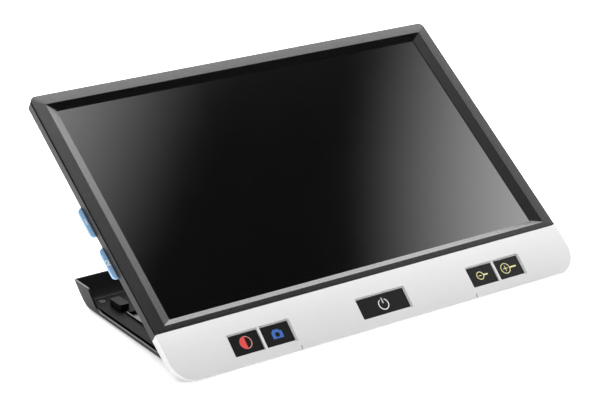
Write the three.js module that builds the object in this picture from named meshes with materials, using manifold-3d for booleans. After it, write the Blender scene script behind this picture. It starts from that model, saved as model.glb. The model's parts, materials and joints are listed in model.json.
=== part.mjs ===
// A portable electronic video magnifier: a thin tilted screen unit hinged to a fold-out stand tray.
// Millimetres, +Z up, the reader sits at -Y. The origin is on the table, mid-width, under the tilt axis.
// Everything on the screen unit is drawn in its own frame: x across, y up the screen, z out of the
// glass, with z = 0 on the bezel's face and the origin at the middle of the glass.
import * as THREE from "three";
import { mergeVertices } from "three/addons/utils/BufferGeometryUtils.js";
import Module from "manifold-3d";

const wasm = await Module();
wasm.setup();

// ---- Driving dimensions ----------------------------------------------------------------------
const TILT = THREE.MathUtils.degToRad(35);
const SCREEN_Y = 56; // the glass centre, behind the tilt axis
const SCREEN_Z = 67.3; // the glass centre, above the table
const AXIS_Z = 5; // the tilt axis, above the table
const GAP = 0.3; // running and fitting clearance
const OVERLAP = 0.01; // joined pieces of one solid run this far into each other
const CLEAR_OF = 5; // cutting pieces run at least this far past what they cut

const HALF_WIDTH = 141; // screen unit, half of its width
const REAR_EDGE = 83.2; // screen unit, top edge of the black bezel
const SPLIT_LINE = -80.2; // where the black bezel meets the silver panel
const LIP = -110; // front edge of the silver panel
const REAR_RADIUS = 3.5;
const LIP_RADIUS = 14;
const WALL = 2; // casing wall
const BACK = -10.2; // the flat back of the thin part of the casing
const SIDE_FOOT = -7.2; // where the side wall turns into the 45 degree taper
const SEAM_TOP = -1;
const SEAM_BOTTOM = -2;
const SPIGOT = { inset: 2.4, foot: -3 }; // the bezel's step that sits inside the back shell

const OPENING = { half: 128.9, top: 72.6 }; // bezel opening at the glass
const CHAMFER = { grow: 4.1, drop: 2.2 }; // how far the opening widens up to the bezel's face
const RECESS = 2; // glass face below the bezel's face
const GLASS = { half: 128.2, top: 72.1, thick: 1, radius: 0.6 };
const PANEL_STACK = { half: 131, top: 75.5 }; // liquid crystal cell and its backlight
const CELL_DEPTH = [-4.2, -3.3];
const BACKLIGHT_DEPTH = [-6.2, -4.5];

const PANEL_RADIUS = 132; // the silver panel rolls down towards the reader
const PANEL_CREST = -80;
const PANEL_THICK = 1.6;
const PANEL_SIDE = 1.8; // thickness of its side strip and lip
const PANEL_LIFT = 0.6; // the panel's lower edge above the table
const PANEL_STEPS = 10;
const SKIRT = -6.2; // lower edge of the silver panel's side strip
const NOTCH = { x: 62, half: 0.5, deep: 2.6 };

const KEY_LINE = -98.5; // centre line of the front keys
const KEY_POCKET = { height: 13.8, depth: 1, rim: 0.8, floor: 1 };
const KEY_TRAVEL = 0.5;
const KEY_GAP = 0.25;
const KEY_CAP = { radius: 0.7, deep: 1.5, flange: 0.5, flangeThick: 0.55 };
const OUTER_POCKET = { from: 62.6, to: 103.2 };
const POWER_POCKET = { from: -17.4, to: 17.4 };
const KEY_RIB = 1.5;
const SWITCH = { half: 2.6, can: 0.5, plunger: 1.6, height: 0.8 };
const BUTTON_BOARD = { half: 106, front: -3.6, rear: 5.4, thick: 0.8 };

const BAY = { half: 130, front: 14, rear: 79, floor: -23.3, taper: 6 }; // camera and battery bay
const WEDGE = { half: 127, rear: -88.3, front: -106, lift: 1.1 }; // lies along the table
const FRONT_SHELF = { top: -6.6, inset: 0.4, lift: 0.4 }; // the shell's ledge under the panel

const COVER_THICK = 1;
const COVER_LEDGE = 1.5;
const COVERS = {
  battery_door: { from: [-116, 25], to: [-50, 68] },
  camera_window: { from: [-12, 39], to: [12, 55] },
  led_window_left: { from: [-42, 41], to: [-26, 53] },
  led_window_right: { from: [26, 41], to: [42, 53] },
};
const PORTS = {
  hdmi_port: { from: [60, 62], to: [75, 75], z: [-17.4, -12.9] },
  usb_port: { from: [84, 66], to: [93, 75], z: [-16.1, -12.9] },
};
const PORT_LIP = 0.6;
const PORT_TONGUE = { side: 2, half: 0.4, deep: 7, short: 1 };
const CAMERA_Y = 47;
const CAMERA_BOARD = { from: [-46, 36, -11.4], to: [46, 58, -10.2] };
const MAIN_BOARD = { from: [50, 24, -12.6], to: [118, 69, -11] };
const SHIELD = { from: [58, 28, -15.2], to: [84, 54, -12.9] };
const BATTERY = { from: [-112, 28], to: [-54, 65], z: [-20.6, -9.6], radius: 3 };
const BARREL_PROFILE = [
  [3, -21.6],
  [6, -21.6],
  [6, -16],
  [7.5, -15],
  [7.5, -11.7],
  [3, -11.7],
  [3, -18.9],
  [4.9, -18.9],
  [4.9, -20.9],
  [3, -20.9],
  [3, -21.6],
]; // radius and depth
const LENS_PROFILE = [
  [0, -20.6],
  [2.6, -20.5],
  [4.5, -20],
  [4.5, -19.6],
  [2.6, -19.3],
  [0, -19.2],
];

const SCREW_HOLE = 1.3;
const SCREW_SHANK = 1;
const SHELL_SCREW = { head: 2.3, length: 2.2, sink: 2.6, sinkDeep: 1.1 };
const SHELL_SCREWS = [
  [-60, -70],
  [60, -70],
  [-60, 2],
  [60, 2],
];

const SIDE_KEYS = [
  { name: "side_key_1", from: -9.7, to: 10.4 },
  { name: "side_key_2", from: -37.9, to: -17.3 },
];
const SIDE_KEY = { outer: -143.4, inner: -127, top: -7.4, thick: 1.6, radius: 2.2 };
const SIDE_FLANGE = { from: -138.4, to: -136.8, wide: 1.5 }; // stops the key leaving its slot
const SIDE_SLOT = { from: -150, to: -137 };
const SIDE_POCKET = { from: -139.5, to: -110, front: -42.5, rear: 13.5, floor: -9.2 };
const SIDE_KEY_TRAVEL = 1.5;
const SIDE_BOARD = { top: -8.3, thick: 0.6, front: -38, rear: 9, wide: 9 };
const SIDE_SWITCH = { deep: 4, half: 3, high: 1.4, plunger: 1.2 };

const STAND = { half: 133, front: -2.5, bottom: 0.5, side: 1.4, rear: 1.3, floor: 1.6, lowRim: 3.1 };
const STAND_SLOPE = [
  [77, 0.5],
  [80, 1.1],
  [84, 3.4],
  [88.2, 7],
  [92.4, 10.9],
  [94.2, 12.6],
]; // underside of the rear end, along y and z
const STAND_RIM = 13.3;
const LIP_WALL = 1.5; // the tray's front wall
const SIDE_RIM = [
  [78.5, 13.3],
  [76.6, 12.6],
  [69.6, 5.2],
  [67.9, 4.1],
  [64, 3.1],
]; // the side wall steps down towards the reader
const DECK = { half: 130.4, front: 8, rear: 81, bottom: 2.4, top: 3.7 };
const DECK_WINDOW = { from: 92, to: 120.4, front: 12, rear: 55.4 };
const STOP_BLOCK = { from: 116, to: 122.4, front: 60, rear: 71.6, top: 6.8 };
const KNUCKLE = { outer: 4.6, bore: 2.3, inner: [92, 100], far: [112.4, 120], web: 7 };
const BRACKET = { from: 101.2, to: 111.4, outer: 4.4, plateFrom: 98, plateTo: 114.8 };
const FOOT = { x: 118, y: 62, radius: 5, top: 1.2, pocket: 1.3 };
const STRIP = { half: 45, front: -1.4, rear: 6 };
const DECK_RIBS = { x: [-100, -50, 0, 50, 100], half: 0.8, front: 10, rear: 72 };
const DECK_SCREW = { x: 124.2, y: 76.8, sink: 2.7 };
const DECK_SCREW_PROFILE = [
  [0, -2.2],
  [1, -2.2],
  [1, -0.4],
  [2.4, -0.4],
  [2.2, -0.05],
  [0, 0],
]; // radius, and height below the deck
const PIN = { radius: 2, over: 0.5, head: 3.2, headEnd: 1.5, headRoom: 2 };
const WASHER_RADIUS = 4.2;
const BRACKET_PLATE = { thick: 1.5, front: -3, rear: 21, screwX: 106.3, screwY: -66 };
const BRACKET_SCREW = { head: 2.4, length: 4.1, stand: 1.2 };
const LIP_PAD = { from: 30, to: 96, y: [-20.5, -9], z: [0, 0.8] };

// ---- Finishes --------------------------------------------------------------------------------
const finish = (color, roughness, metalness) =>
  new THREE.MeshStandardMaterial({ color, roughness, metalness });
const BLACK = finish(0x3a3b3d, 0.6, 0);
const DARK = finish(0x2a2b2d, 0.55, 0);
const SILVER = finish(0xdcdee0, 0.35, 0.1);
const KEY_BLACK = finish(0x1f2021, 0.4, 0);
const BLUE = finish(0x8db2d7, 0.4, 0);
const SCREEN = finish(0x08090a, 0.05, 0);
const CLEAR = finish(0x9fb0b8, 0.05, 0);
const RUBBER = finish(0x1b1b1c, 0.9, 0);
const STEEL = finish(0xb4b6b8, 0.35, 1);
const BOARD = finish(0x1d5a38, 0.5, 0);
const CELL = finish(0x3d4a63, 0.5, 0);

// ---- Solids ----------------------------------------------------------------------------------
// A closed three.js geometry as a solid that can be cut and joined.
function solid(geometry) {
  const bare = geometry.clone();
  bare.deleteAttribute("normal");
  bare.deleteAttribute("uv");
  const merged = mergeVertices(bare, 1e-4);
  return new wasm.Manifold(
    new wasm.Mesh({
      numProp: 3,
      vertProperties: merged.attributes.position.array,
      triVerts: new Uint32Array(merged.index.array),
    }),
  );
}

function named(name, shape, material) {
  const { vertProperties, triVerts } = shape.getMesh();
  const geometry = new THREE.BufferGeometry();
  geometry.setAttribute("position", new THREE.BufferAttribute(vertProperties, 3));
  geometry.setIndex(new THREE.BufferAttribute(triVerts, 1));
  geometry.computeVertexNormals();
  const mesh = new THREE.Mesh(geometry, material);
  mesh.name = name;
  return mesh;
}

function block([x0, y0, z0], [x1, y1, z1]) {
  const box = new THREE.BoxGeometry(x1 - x0, y1 - y0, z1 - z0);
  return solid(box.translate((x0 + x1) / 2, (y0 + y1) / 2, (z0 + z1) / 2));
}

// A rectangle with one radius on its two near corners and one on its two far corners.
function outline([x0, y0], [x1, y1], nearRadius, farRadius = nearRadius) {
  const shape = new THREE.Shape();
  const quarter = Math.PI / 2;
  const corners = [
    [x0, y0, 1, 1, nearRadius, 2],
    [x1, y0, -1, 1, nearRadius, 3],
    [x1, y1, -1, -1, farRadius, 0],
    [x0, y1, 1, -1, farRadius, 1],
  ];
  shape.moveTo(x0, y0 + nearRadius);
  for (const [x, y, sx, sy, radius, turn] of corners) {
    if (radius > 0) {
      shape.absarc(x + sx * radius, y + sy * radius, radius, turn * quarter, (turn + 1) * quarter);
    } else {
      shape.lineTo(x, y);
    }
  }
  return shape;
}

function plate(shape, z0, z1, curveSegments = 6) {
  const options = { depth: z1 - z0, bevelEnabled: false, curveSegments };
  return solid(new THREE.ExtrudeGeometry(shape, options).translate(0, 0, z0));
}

// An outline that grows by `grow` on every side from z0 up to z1, then runs straight up to z2.
function flare(shape, grow, z0, z1, z2, curveSegments = 6) {
  const options = {
    depth: z2 - z1 + 1,
    bevelThickness: z1 - z0,
    bevelSize: grow,
    bevelSegments: 1,
    curveSegments,
  };
  const whole = solid(new THREE.ExtrudeGeometry(shape, options).translate(0, 0, z1));
  return whole.intersect(block([-500, -500, z0 - 1], [500, 500, z2]));
}

// A side view given in y and z, carried across from x0 to x1.
const ACROSS = new THREE.Matrix4().makeBasis(
  new THREE.Vector3(0, 1, 0),
  new THREE.Vector3(0, 0, 1),
  new THREE.Vector3(1, 0, 0),
);
function across(points, x0, x1) {
  const shape = new THREE.Shape(points.map(([y, z]) => new THREE.Vector2(y, z)));
  const geometry = new THREE.ExtrudeGeometry(shape, { depth: x1 - x0, bevelEnabled: false });
  return solid(geometry.applyMatrix4(ACROSS).translate(x0, 0, 0));
}

function rodAcross(radius, x0, x1, y, z, sides = 24) {
  const rod = new THREE.CylinderGeometry(radius, radius, x1 - x0, sides);
  return solid(rod.rotateZ(Math.PI / 2).translate((x0 + x1) / 2, y, z));
}

function discUp(radius, z0, z1, x, y, sides = 24) {
  const disc = new THREE.CylinderGeometry(radius, radius, z1 - z0, sides);
  return solid(disc.rotateX(Math.PI / 2).translate(x, y, (z0 + z1) / 2));
}

// A turned piece about a line parallel to z, from its half profile of radius and z.
function turned(profile, x, y, sides = 24) {
  const points = profile.map(([r, z]) => new THREE.Vector2(r, z));
  const lathe = new THREE.LatheGeometry(points, sides).rotateX(Math.PI / 2);
  return solid(lathe.translate(x, y, 0));
}

function both(build) {
  return [
    build(-1, "left"),
    build(1, "right"),
  ];
}

// A box given by distances from the middle, on the chosen side.
function sideBlock(side, from, to, y, z) {
  const [a, b] = side < 0 ? [-to, -from] : [from, to];
  return block([a, y[0], z[0]], [b, y[1], z[1]]);
}

function sideRod(side, radius, from, to, y, z, sides = 24) {
  const [a, b] = side < 0 ? [-to, -from] : [from, to];
  return rodAcross(radius, a, b, y, z, sides);
}

// ---- Screen unit frame -----------------------------------------------------------------------
const AXIS_V = -SCREEN_Y * Math.cos(TILT) + (AXIS_Z - SCREEN_Z) * Math.sin(TILT);
const AXIS_N = SCREEN_Y * Math.sin(TILT) + (AXIS_Z - SCREEN_Z) * Math.cos(TILT);
// Depth, in the screen unit's frame, of a point at this height above the table.
const depthAt = (y, height) => (height - SCREEN_Z - y * Math.sin(TILT)) / Math.cos(TILT);
const slopeY = (depth, height) => (height - SCREEN_Z - depth * Math.cos(TILT)) / Math.sin(TILT);
const panelTop = (y) => Math.sqrt(PANEL_RADIUS ** 2 - (y - PANEL_CREST) ** 2) - PANEL_RADIUS;
const KEY_TIP = Math.asin((PANEL_CREST - KEY_LINE) / PANEL_RADIUS);
const onKeyLine = (shape) =>
  shape
    .rotate([THREE.MathUtils.radToDeg(KEY_TIP), 0, 0])
    .translate([0, KEY_LINE, panelTop(KEY_LINE)]);

// Everything above a plane that stands `height` above the table.
function aboveTable(height) {
  const front = -140;
  const back = 100;
  return across(
    [
      [front, depthAt(front, height)],
      [back, depthAt(back, height)],
      [back, 20],
      [front, 20],
    ],
    -200,
    200,
  );
}

// ---- Front bezel, glass and display ----------------------------------------------------------
function bezel() {
  const face = outline([-HALF_WIDTH, SPLIT_LINE], [HALF_WIDTH, REAR_EDGE], 0, REAR_RADIUS);
  const { inset, foot } = SPIGOT;
  const half = HALF_WIDTH - inset;
  const spigot = outline([-half, SPLIT_LINE + inset], [half, REAR_EDGE - inset], 0, 1);
  const hole = outline([-OPENING.half, -OPENING.top], [OPENING.half, OPENING.top], 0);
  return plate(face, SEAM_TOP, 0)
    .add(plate(spigot, foot, SEAM_TOP + OVERLAP))
    .subtract(flare(hole, CHAMFER.grow, -CHAMFER.drop, 0, 1))
    .subtract(plate(hole, foot - 1, -RECESS));
}

function glass() {
  const { half, top, thick, radius } = GLASS;
  const sheet = outline([-half, -top], [half, top], radius);
  return plate(sheet, -RECESS - thick, -RECESS, 2);
}

function stackPlate([z0, z1]) {
  const { half, top } = PANEL_STACK;
  return block([-half, -top, z0], [half, top, z1]);
}

// ---- Silver control panel --------------------------------------------------------------------
function panelProfile(inset, rear, front) {
  const points = [];
  for (let i = 0; i <= PANEL_STEPS; i += 1) {
    const y = rear + ((front - rear) * i) / PANEL_STEPS;
    points.push([y, panelTop(y) - inset]);
  }
  return points;
}

function pockets() {
  const { from, to } = OUTER_POCKET;
  return [
    [-to, -from],
    [POWER_POCKET.from, POWER_POCKET.to],
    [from, to],
  ];
}

function keyOpenings() {
  const { rim } = KEY_POCKET;
  const near = OUTER_POCKET.from + rim;
  const far = OUTER_POCKET.to - rim;
  const middle = (near + far) / 2;
  const rib = KEY_RIB / 2;
  return [
    { name: "contrast", from: -far, to: -middle - rib },
    { name: "capture", from: -middle + rib, to: -near },
    { name: "power", from: POWER_POCKET.from + rim, to: POWER_POCKET.to - rim },
    { name: "zoom_out", from: near, to: middle - rib },
    { name: "zoom_in", from: middle + rib, to: far },
  ];
}

function panelBody() {
  const start = SPLIT_LINE - GAP;
  const sideView = [
    ...panelProfile(0, start, LIP),
    [LIP, depthAt(LIP, PANEL_LIFT)],
    [slopeY(SKIRT, PANEL_LIFT), SKIRT],
    [start, SKIRT],
  ];
  const edge = outline([-HALF_WIDTH, LIP], [HALF_WIDTH, 0], LIP_RADIUS, 0);
  return across(sideView, -HALF_WIDTH, HALF_WIDTH).intersect(
    plate(edge, SKIRT - CLEAR_OF, CLEAR_OF, 8),
  );
}

function panelHollow() {
  const rear = SPLIT_LINE - GAP + CLEAR_OF;
  const front = LIP + PANEL_SIDE;
  const half = HALF_WIDTH - PANEL_SIDE;
  const low = SKIRT - CLEAR_OF;
  const sideView = [...panelProfile(PANEL_THICK, rear, front), [front, low], [rear, low]];
  const edge = outline([-half, front], [half, rear + CLEAR_OF], LIP_RADIUS - PANEL_SIDE, 0);
  return across(sideView, -half, half).intersect(plate(edge, low, CLEAR_OF, 8));
}

function controlPanel() {
  let shape = panelBody().subtract(panelHollow());
  const { height, depth, rim, floor } = KEY_POCKET;
  const high = height / 2;
  const under = -depth - floor;
  for (const [from, to] of pockets()) {
    const pan = block([from - 1, -high - 1, under], [to + 1, high + 1, -depth / 2]);
    shape = shape.add(onKeyLine(pan));
    shape = shape.subtract(onKeyLine(block([from, -high, -depth], [to, high, CLEAR_OF])));
  }
  const open = high - rim;
  for (const { from, to } of keyOpenings()) {
    shape = shape.subtract(onKeyLine(block([from, -open, under - 1], [to, open, CLEAR_OF])));
  }
  for (const x of [-NOTCH.x, NOTCH.x]) {
    const slit = block([x - NOTCH.half, LIP - 1, SKIRT - 1], [x + NOTCH.half, LIP + NOTCH.deep, 1]);
    shape = shape.subtract(slit);
  }
  return shape;
}

// ---- Back shell ------------------------------------------------------------------------------
function coverRecess({ from, to }) {
  const ledge = COVER_LEDGE;
  const floor = BAY.floor + COVER_THICK + GAP;
  const rim = block([from[0], from[1], BAY.floor - 1], [to[0], to[1], floor]);
  const through = block(
    [from[0] + ledge, from[1] + ledge, BAY.floor - 1],
    [to[0] - ledge, to[1] - ledge, BAY.floor + 4],
  );
  return rim.add(through);
}

function coverPlate({ from, to }) {
  const sheet = outline([from[0] + GAP, from[1] + GAP], [to[0] - GAP, to[1] - GAP], 0.4);
  return plate(sheet, BAY.floor, BAY.floor + COVER_THICK, 2);
}

function shellOutside() {
  const taper = SIDE_FOOT - BACK;
  const slab = outline(
    [-HALF_WIDTH + taper, SPLIT_LINE + taper],
    [HALF_WIDTH - taper, REAR_EDGE - taper],
    0,
    0.4,
  );
  const main = flare(slab, taper, BACK, SIDE_FOOT, SEAM_BOTTOM);
  const { top: shelf, inset, lift } = FRONT_SHELF;
  const drop = shelf - BACK;
  const half = HALF_WIDTH - inset - drop;
  const rear = SPLIT_LINE + LIP_RADIUS;
  const frontEdge = outline([-half, LIP + inset + drop], [half, rear], LIP_RADIUS - inset - drop, 0);
  const front = flare(frontEdge, drop, BACK, shelf - OVERLAP, shelf).intersect(aboveTable(lift));
  const narrow = BAY.half - BAY.taper;
  const bayFoot = outline(
    [-narrow, BAY.front + BAY.taper],
    [narrow, BAY.rear - BAY.taper],
    4,
  );
  const bay = flare(bayFoot, BAY.taper, BAY.floor, BACK, BACK + 1);
  const wedge = across(
    [
      [WEDGE.front, depthAt(WEDGE.front, WEDGE.lift)],
      [WEDGE.rear, depthAt(WEDGE.rear, WEDGE.lift)],
      [WEDGE.rear, -8],
      [-96, -6.8],
    ],
    -WEDGE.half,
    WEDGE.half,
  );
  return main.add(front).add(bay).add(wedge);
}

function shellInside() {
  const floor = BACK + 1.8;
  const taper = 2;
  const half = HALF_WIDTH - WALL;
  const slab = outline(
    [-half + taper, SPLIT_LINE + WALL + taper],
    [half - taper, REAR_EDGE - WALL - taper],
    0,
  );
  const main = flare(slab, taper, floor, SIDE_FOOT, 1);
  const lift = 2.6;
  const frontEnd = WEDGE.front + 2;
  const front = across(
    [
      [frontEnd, depthAt(frontEnd, lift)],
      [slopeY(floor, lift), floor],
      [SPLIT_LINE + 8, floor],
      [SPLIT_LINE + 8, 1],
      [frontEnd, 1],
    ],
    -half + taper,
    half - taper,
  );
  const inset = BAY.taper + WALL;
  const bayFoot = outline(
    [-BAY.half + inset, BAY.front + inset],
    [BAY.half - inset, BAY.rear - inset],
    3,
  );
  const bay = flare(bayFoot, BAY.taper, BAY.floor + WALL, BACK, floor + 1);
  const wedge = across(
    [
      [frontEnd, depthAt(frontEnd, lift)],
      [WEDGE.rear - 1.8, depthAt(WEDGE.rear - 1.8, lift)],
      [WEDGE.rear - 1.8, -5],
      [frontEnd, -5],
    ],
    -WEDGE.half + 1.8,
    WEDGE.half - 1.8,
  );
  return main.add(front).add(bay).add(wedge);
}

function backShell() {
  let shape = shellOutside().subtract(shellInside());
  for (const cover of Object.values(COVERS)) {
    shape = shape.subtract(coverRecess(cover));
  }
  for (const { from, to, z } of Object.values(PORTS)) {
    const mouth = block(
      [from[0] - GAP, from[1], z[0] - GAP],
      [to[0] + GAP, REAR_EDGE, z[1] + GAP],
    );
    shape = shape.subtract(mouth);
  }
  const pocket = SIDE_POCKET;
  shape = shape.subtract(
    block([pocket.from, pocket.front, pocket.floor], [pocket.to, pocket.rear, SIDE_FOOT]),
  );
  const slotTop = SIDE_KEY.top + GAP;
  const slotFloor = SIDE_KEY.top - SIDE_KEY.thick - GAP;
  for (const { from, to } of SIDE_KEYS) {
    const slot = block([SIDE_SLOT.from, from - GAP, slotFloor], [SIDE_SLOT.to, to + GAP, slotTop]);
    shape = shape.subtract(slot);
  }
  return shellScrewHoles(shape);
}

function shellScrewHoles(shell) {
  const { sink, sinkDeep } = SHELL_SCREW;
  const hole = (x, y) => discUp(SCREW_HOLE, BACK - 1, BACK + CLEAR_OF, x, y, 16);
  let shape = shell;
  for (const [x, y] of SHELL_SCREWS) {
    shape = shape.subtract(hole(x, y)).subtract(discUp(sink, BACK - 1, BACK + sinkDeep, x, y, 16));
  }
  for (const side of [-1, 1]) {
    shape = shape.subtract(hole(side * BRACKET_PLATE.screwX, BRACKET_PLATE.screwY));
  }
  return shape;
}

// A countersunk screw with its head's flat face at z, pointing up.
function screw(x, y, z, head, length) {
  return turned(
    [
      [0, z],
      [head, z],
      [head, z + 0.7],
      [SCREW_SHANK, z + 0.9],
      [SCREW_SHANK, z + length],
      [0, z + length],
    ],
    x,
    y,
    16,
  );
}

// ---- Front keys ------------------------------------------------------------------------------
function keyCap({ from, to }) {
  const { radius, deep, flange, flangeThick } = KEY_CAP;
  const high = KEY_POCKET.height / 2 - KEY_POCKET.rim - KEY_GAP;
  const top = -KEY_POCKET.depth;
  const under = top - KEY_POCKET.floor - KEY_GAP;
  const cap = outline([from + KEY_GAP, -high], [to - KEY_GAP, high], radius);
  const skirt = block(
    [from - flange, -high - flange, under - flangeThick],
    [to + flange, high + flange, under],
  );
  return plate(cap, top - deep, top, 3).add(skirt);
}

const SWITCH_TOP =
  -KEY_POCKET.depth - KEY_POCKET.floor - KEY_GAP - KEY_CAP.flangeThick - KEY_TRAVEL - KEY_GAP;

function keySwitch({ from, to }) {
  const x = (from + to) / 2;
  const { half, can, plunger, height } = SWITCH;
  const foot = SWITCH_TOP - height;
  return block([x - half, -half, foot], [x + half, half, foot + can]).add(
    discUp(plunger, foot + can / 2, SWITCH_TOP, x, 0, 16),
  );
}

function keyBoard() {
  const { half, front, rear, thick } = BUTTON_BOARD;
  const top = SWITCH_TOP - SWITCH.height - 0.1;
  return block([-half, front, top - thick], [half, rear, top]);
}

function frontKeys() {
  const keys = new THREE.Group();
  keys.position.set(0, KEY_LINE, panelTop(KEY_LINE));
  keys.rotation.x = KEY_TIP;
  for (const opening of keyOpenings()) {
    keys.add(named(opening.name + "_button", keyCap(opening), KEY_BLACK));
    keys.add(named(opening.name + "_switch", keySwitch(opening), STEEL));
  }
  keys.add(named("button_board", keyBoard(), BOARD));
  return keys;
}

// ---- Side keys -------------------------------------------------------------------------------
function sideKey({ from, to }) {
  const { outer, inner, top, thick, radius } = SIDE_KEY;
  const { from: wall, to: shoulder, wide } = SIDE_FLANGE;
  const shape = new THREE.Shape();
  shape.moveTo(inner, from);
  shape.lineTo(inner, to);
  shape.lineTo(shoulder, to);
  shape.lineTo(shoulder, to + wide);
  shape.lineTo(wall, to + wide);
  shape.lineTo(wall, to);
  shape.lineTo(outer + radius, to);
  shape.absarc(outer + radius, to - radius, radius, Math.PI / 2, Math.PI);
  shape.absarc(outer + radius, from + radius, radius, Math.PI, Math.PI * 1.5);
  shape.lineTo(wall, from);
  shape.lineTo(wall, from - wide);
  shape.lineTo(shoulder, from - wide);
  shape.lineTo(shoulder, from);
  return plate(shape, top - thick, top, 5);
}

const SIDE_SWITCH_X = SIDE_KEY.inner + SIDE_KEY_TRAVEL + GAP;
const PLUNGER_REACH = 0.5;

function sideSwitch({ from, to }) {
  const { deep, half, high, plunger } = SIDE_SWITCH;
  const x = SIDE_SWITCH_X;
  const y = (from + to) / 2;
  const foot = SIDE_BOARD.top + 0.1;
  return block([x + 1, y - half, foot], [x + 1 + deep, y + half, foot + high]).add(
    block([x, y - plunger, foot + GAP], [x + 1.5, y + plunger, foot + high - GAP]),
  );
}

function sideBoard() {
  const { top, thick, front, rear, wide } = SIDE_BOARD;
  const x = SIDE_SWITCH_X + PLUNGER_REACH;
  return block([x, front, top - thick], [x + wide, rear, top]);
}

// ---- Camera, lamps, battery and main board ---------------------------------------------------
function cameraBarrel() {
  return turned(BARREL_PROFILE, 0, CAMERA_Y);
}

function cameraLens() {
  return turned(LENS_PROFILE, 0, CAMERA_Y);
}

function batteryPack() {
  const { from, to, z, radius } = BATTERY;
  return plate(outline(from, to, radius), z[0], z[1], 3);
}

function port({ from, to, z }) {
  const body = block([from[0], from[1], z[0]], [to[0], to[1], z[1]]);
  const mouth = block(
    [from[0] + PORT_LIP, to[1] - 6, z[0] + PORT_LIP],
    [to[0] - PORT_LIP, to[1] + 1, z[1] - PORT_LIP],
  );
  const { side, half, deep, short } = PORT_TONGUE;
  const middle = (z[0] + z[1]) / 2;
  const tongue = block(
    [from[0] + side, to[1] - deep, middle - half],
    [to[0] - side, to[1] - short, middle + half],
  );
  return body.subtract(mouth).add(tongue);
}

// ---- Hinge -----------------------------------------------------------------------------------
function hingeBracket(side) {
  const { thick, front, rear, screwX, screwY } = BRACKET_PLATE;
  const top = BACK - GAP;
  const under = top - thick;
  const { from, to, outer, plateFrom, plateTo } = BRACKET;
  return sideRod(side, outer, from, to, AXIS_V, AXIS_N)
    .add(sideBlock(side, from, to, [AXIS_V + front, AXIS_V - front], [AXIS_N, top]))
    .add(sideBlock(side, plateFrom, plateTo, [AXIS_V + front, AXIS_V + rear], [under, top]))
    .subtract(sideRod(side, KNUCKLE.bore, from - 1, to + 1, AXIS_V, AXIS_N))
    .subtract(discUp(SCREW_HOLE + 0.1, under - 1, top + 1, side * screwX, screwY, 16));
}

function frictionWasher(side) {
  const from = KNUCKLE.inner[1] + GAP;
  const to = BRACKET.from - GAP;
  return sideRod(side, WASHER_RADIUS, from, to, AXIS_V, AXIS_N).subtract(
    sideRod(side, KNUCKLE.bore, from - 1, to + 1, AXIS_V, AXIS_N),
  );
}

function bracketScrew(side) {
  const { head, length, stand } = BRACKET_SCREW;
  const { thick, screwX, screwY } = BRACKET_PLATE;
  return screw(side * screwX, screwY, BACK - GAP - thick - stand, head, length);
}

function hingePin(side) {
  const [from] = KNUCKLE.inner;
  const [, to] = KNUCKLE.far;
  const shank = sideRod(side, PIN.radius, from - PIN.over, to + PIN.over, 0, AXIS_Z);
  return shank.add(sideRod(side, PIN.head, to + GAP, to + PIN.headEnd, 0, AXIS_Z));
}

// ---- Stand -----------------------------------------------------------------------------------
// The rear slope moved into the tray by the wall's thickness, from the floor up.
function innerSlope() {
  const { rear, floor, bottom } = STAND;
  const [low, ...rise] = STAND_SLOPE;
  const lean = THREE.MathUtils.degToRad(42);
  const moved = rise.slice(1).map(([y, z]) => [y - rear * Math.sin(lean), z + rear * Math.cos(lean)]);
  return [[low[0] + 1.6, bottom + floor], ...moved];
}

function trayTub() {
  const { half, front, bottom, side, floor, lowRim } = STAND;
  const rim = [
    [94, STAND_RIM],
    [91.6, STAND_RIM],
  ];
  const sideView = [[front, bottom], ...STAND_SLOPE, ...rim, ...SIDE_RIM, [front, lowRim]];
  const lipY = front + LIP_WALL;
  const open = STAND_RIM + CLEAR_OF;
  const hollow = [[lipY, bottom + floor], ...innerSlope(), [91.8, open], [lipY, open]];
  const room = half - side;
  return across(sideView, -half, half).subtract(across(hollow, -room, room));
}

function deckRibs() {
  const { x, half, front, rear } = DECK_RIBS;
  const foot = STAND.bottom + STAND.floor - 0.1;
  return x.map((at) => block([at - half, front, foot], [at + half, rear, DECK.bottom - 0.1]));
}

// The two knuckles of one hinge, joined to the tray's floor.
function knuckles(side) {
  return [KNUCKLE.inner, KNUCKLE.far].map(([from, to]) =>
    sideRod(side, KNUCKLE.outer, from, to, 0, AXIS_Z).add(
      sideBlock(side, from, to, [0, KNUCKLE.web], [STAND.bottom, KNUCKLE.web]),
    ),
  );
}

function hingeRoom(side) {
  const [from] = KNUCKLE.inner;
  const [, to] = KNUCKLE.far;
  const slot = sideBlock(side, KNUCKLE.inner[1], KNUCKLE.far[0], [-8, 6.5], [-1, 20]);
  return slot
    .add(sideRod(side, KNUCKLE.bore, from - 2, to + 1, 0, AXIS_Z))
    .add(sideRod(side, PIN.head + GAP, to, to + PIN.headRoom, 0, AXIS_Z));
}

function standTray() {
  let shape = trayTub();
  for (const rib of deckRibs()) {
    shape = shape.add(rib);
  }
  for (const side of [-1, 1]) {
    for (const knuckle of knuckles(side)) {
      shape = shape.add(knuckle);
    }
    const { x, y, radius, pocket } = FOOT;
    const screwTo = DECK.top + 1;
    shape = shape
      .subtract(hingeRoom(side))
      .subtract(discUp(radius + GAP, -1, pocket, side * x, y))
      .subtract(discUp(SCREW_HOLE, 1.2, screwTo, side * DECK_SCREW.x, DECK_SCREW.y, 16));
  }
  return shape.subtract(plate(footStrip(GAP), -1, FOOT.pocket, 3));
}

// The long front foot, straight under the tilt axis.
function footStrip(grow) {
  const { half, front, rear } = STRIP;
  return outline([-half - grow, front - grow], [half + grow, rear + grow], 2);
}

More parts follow.
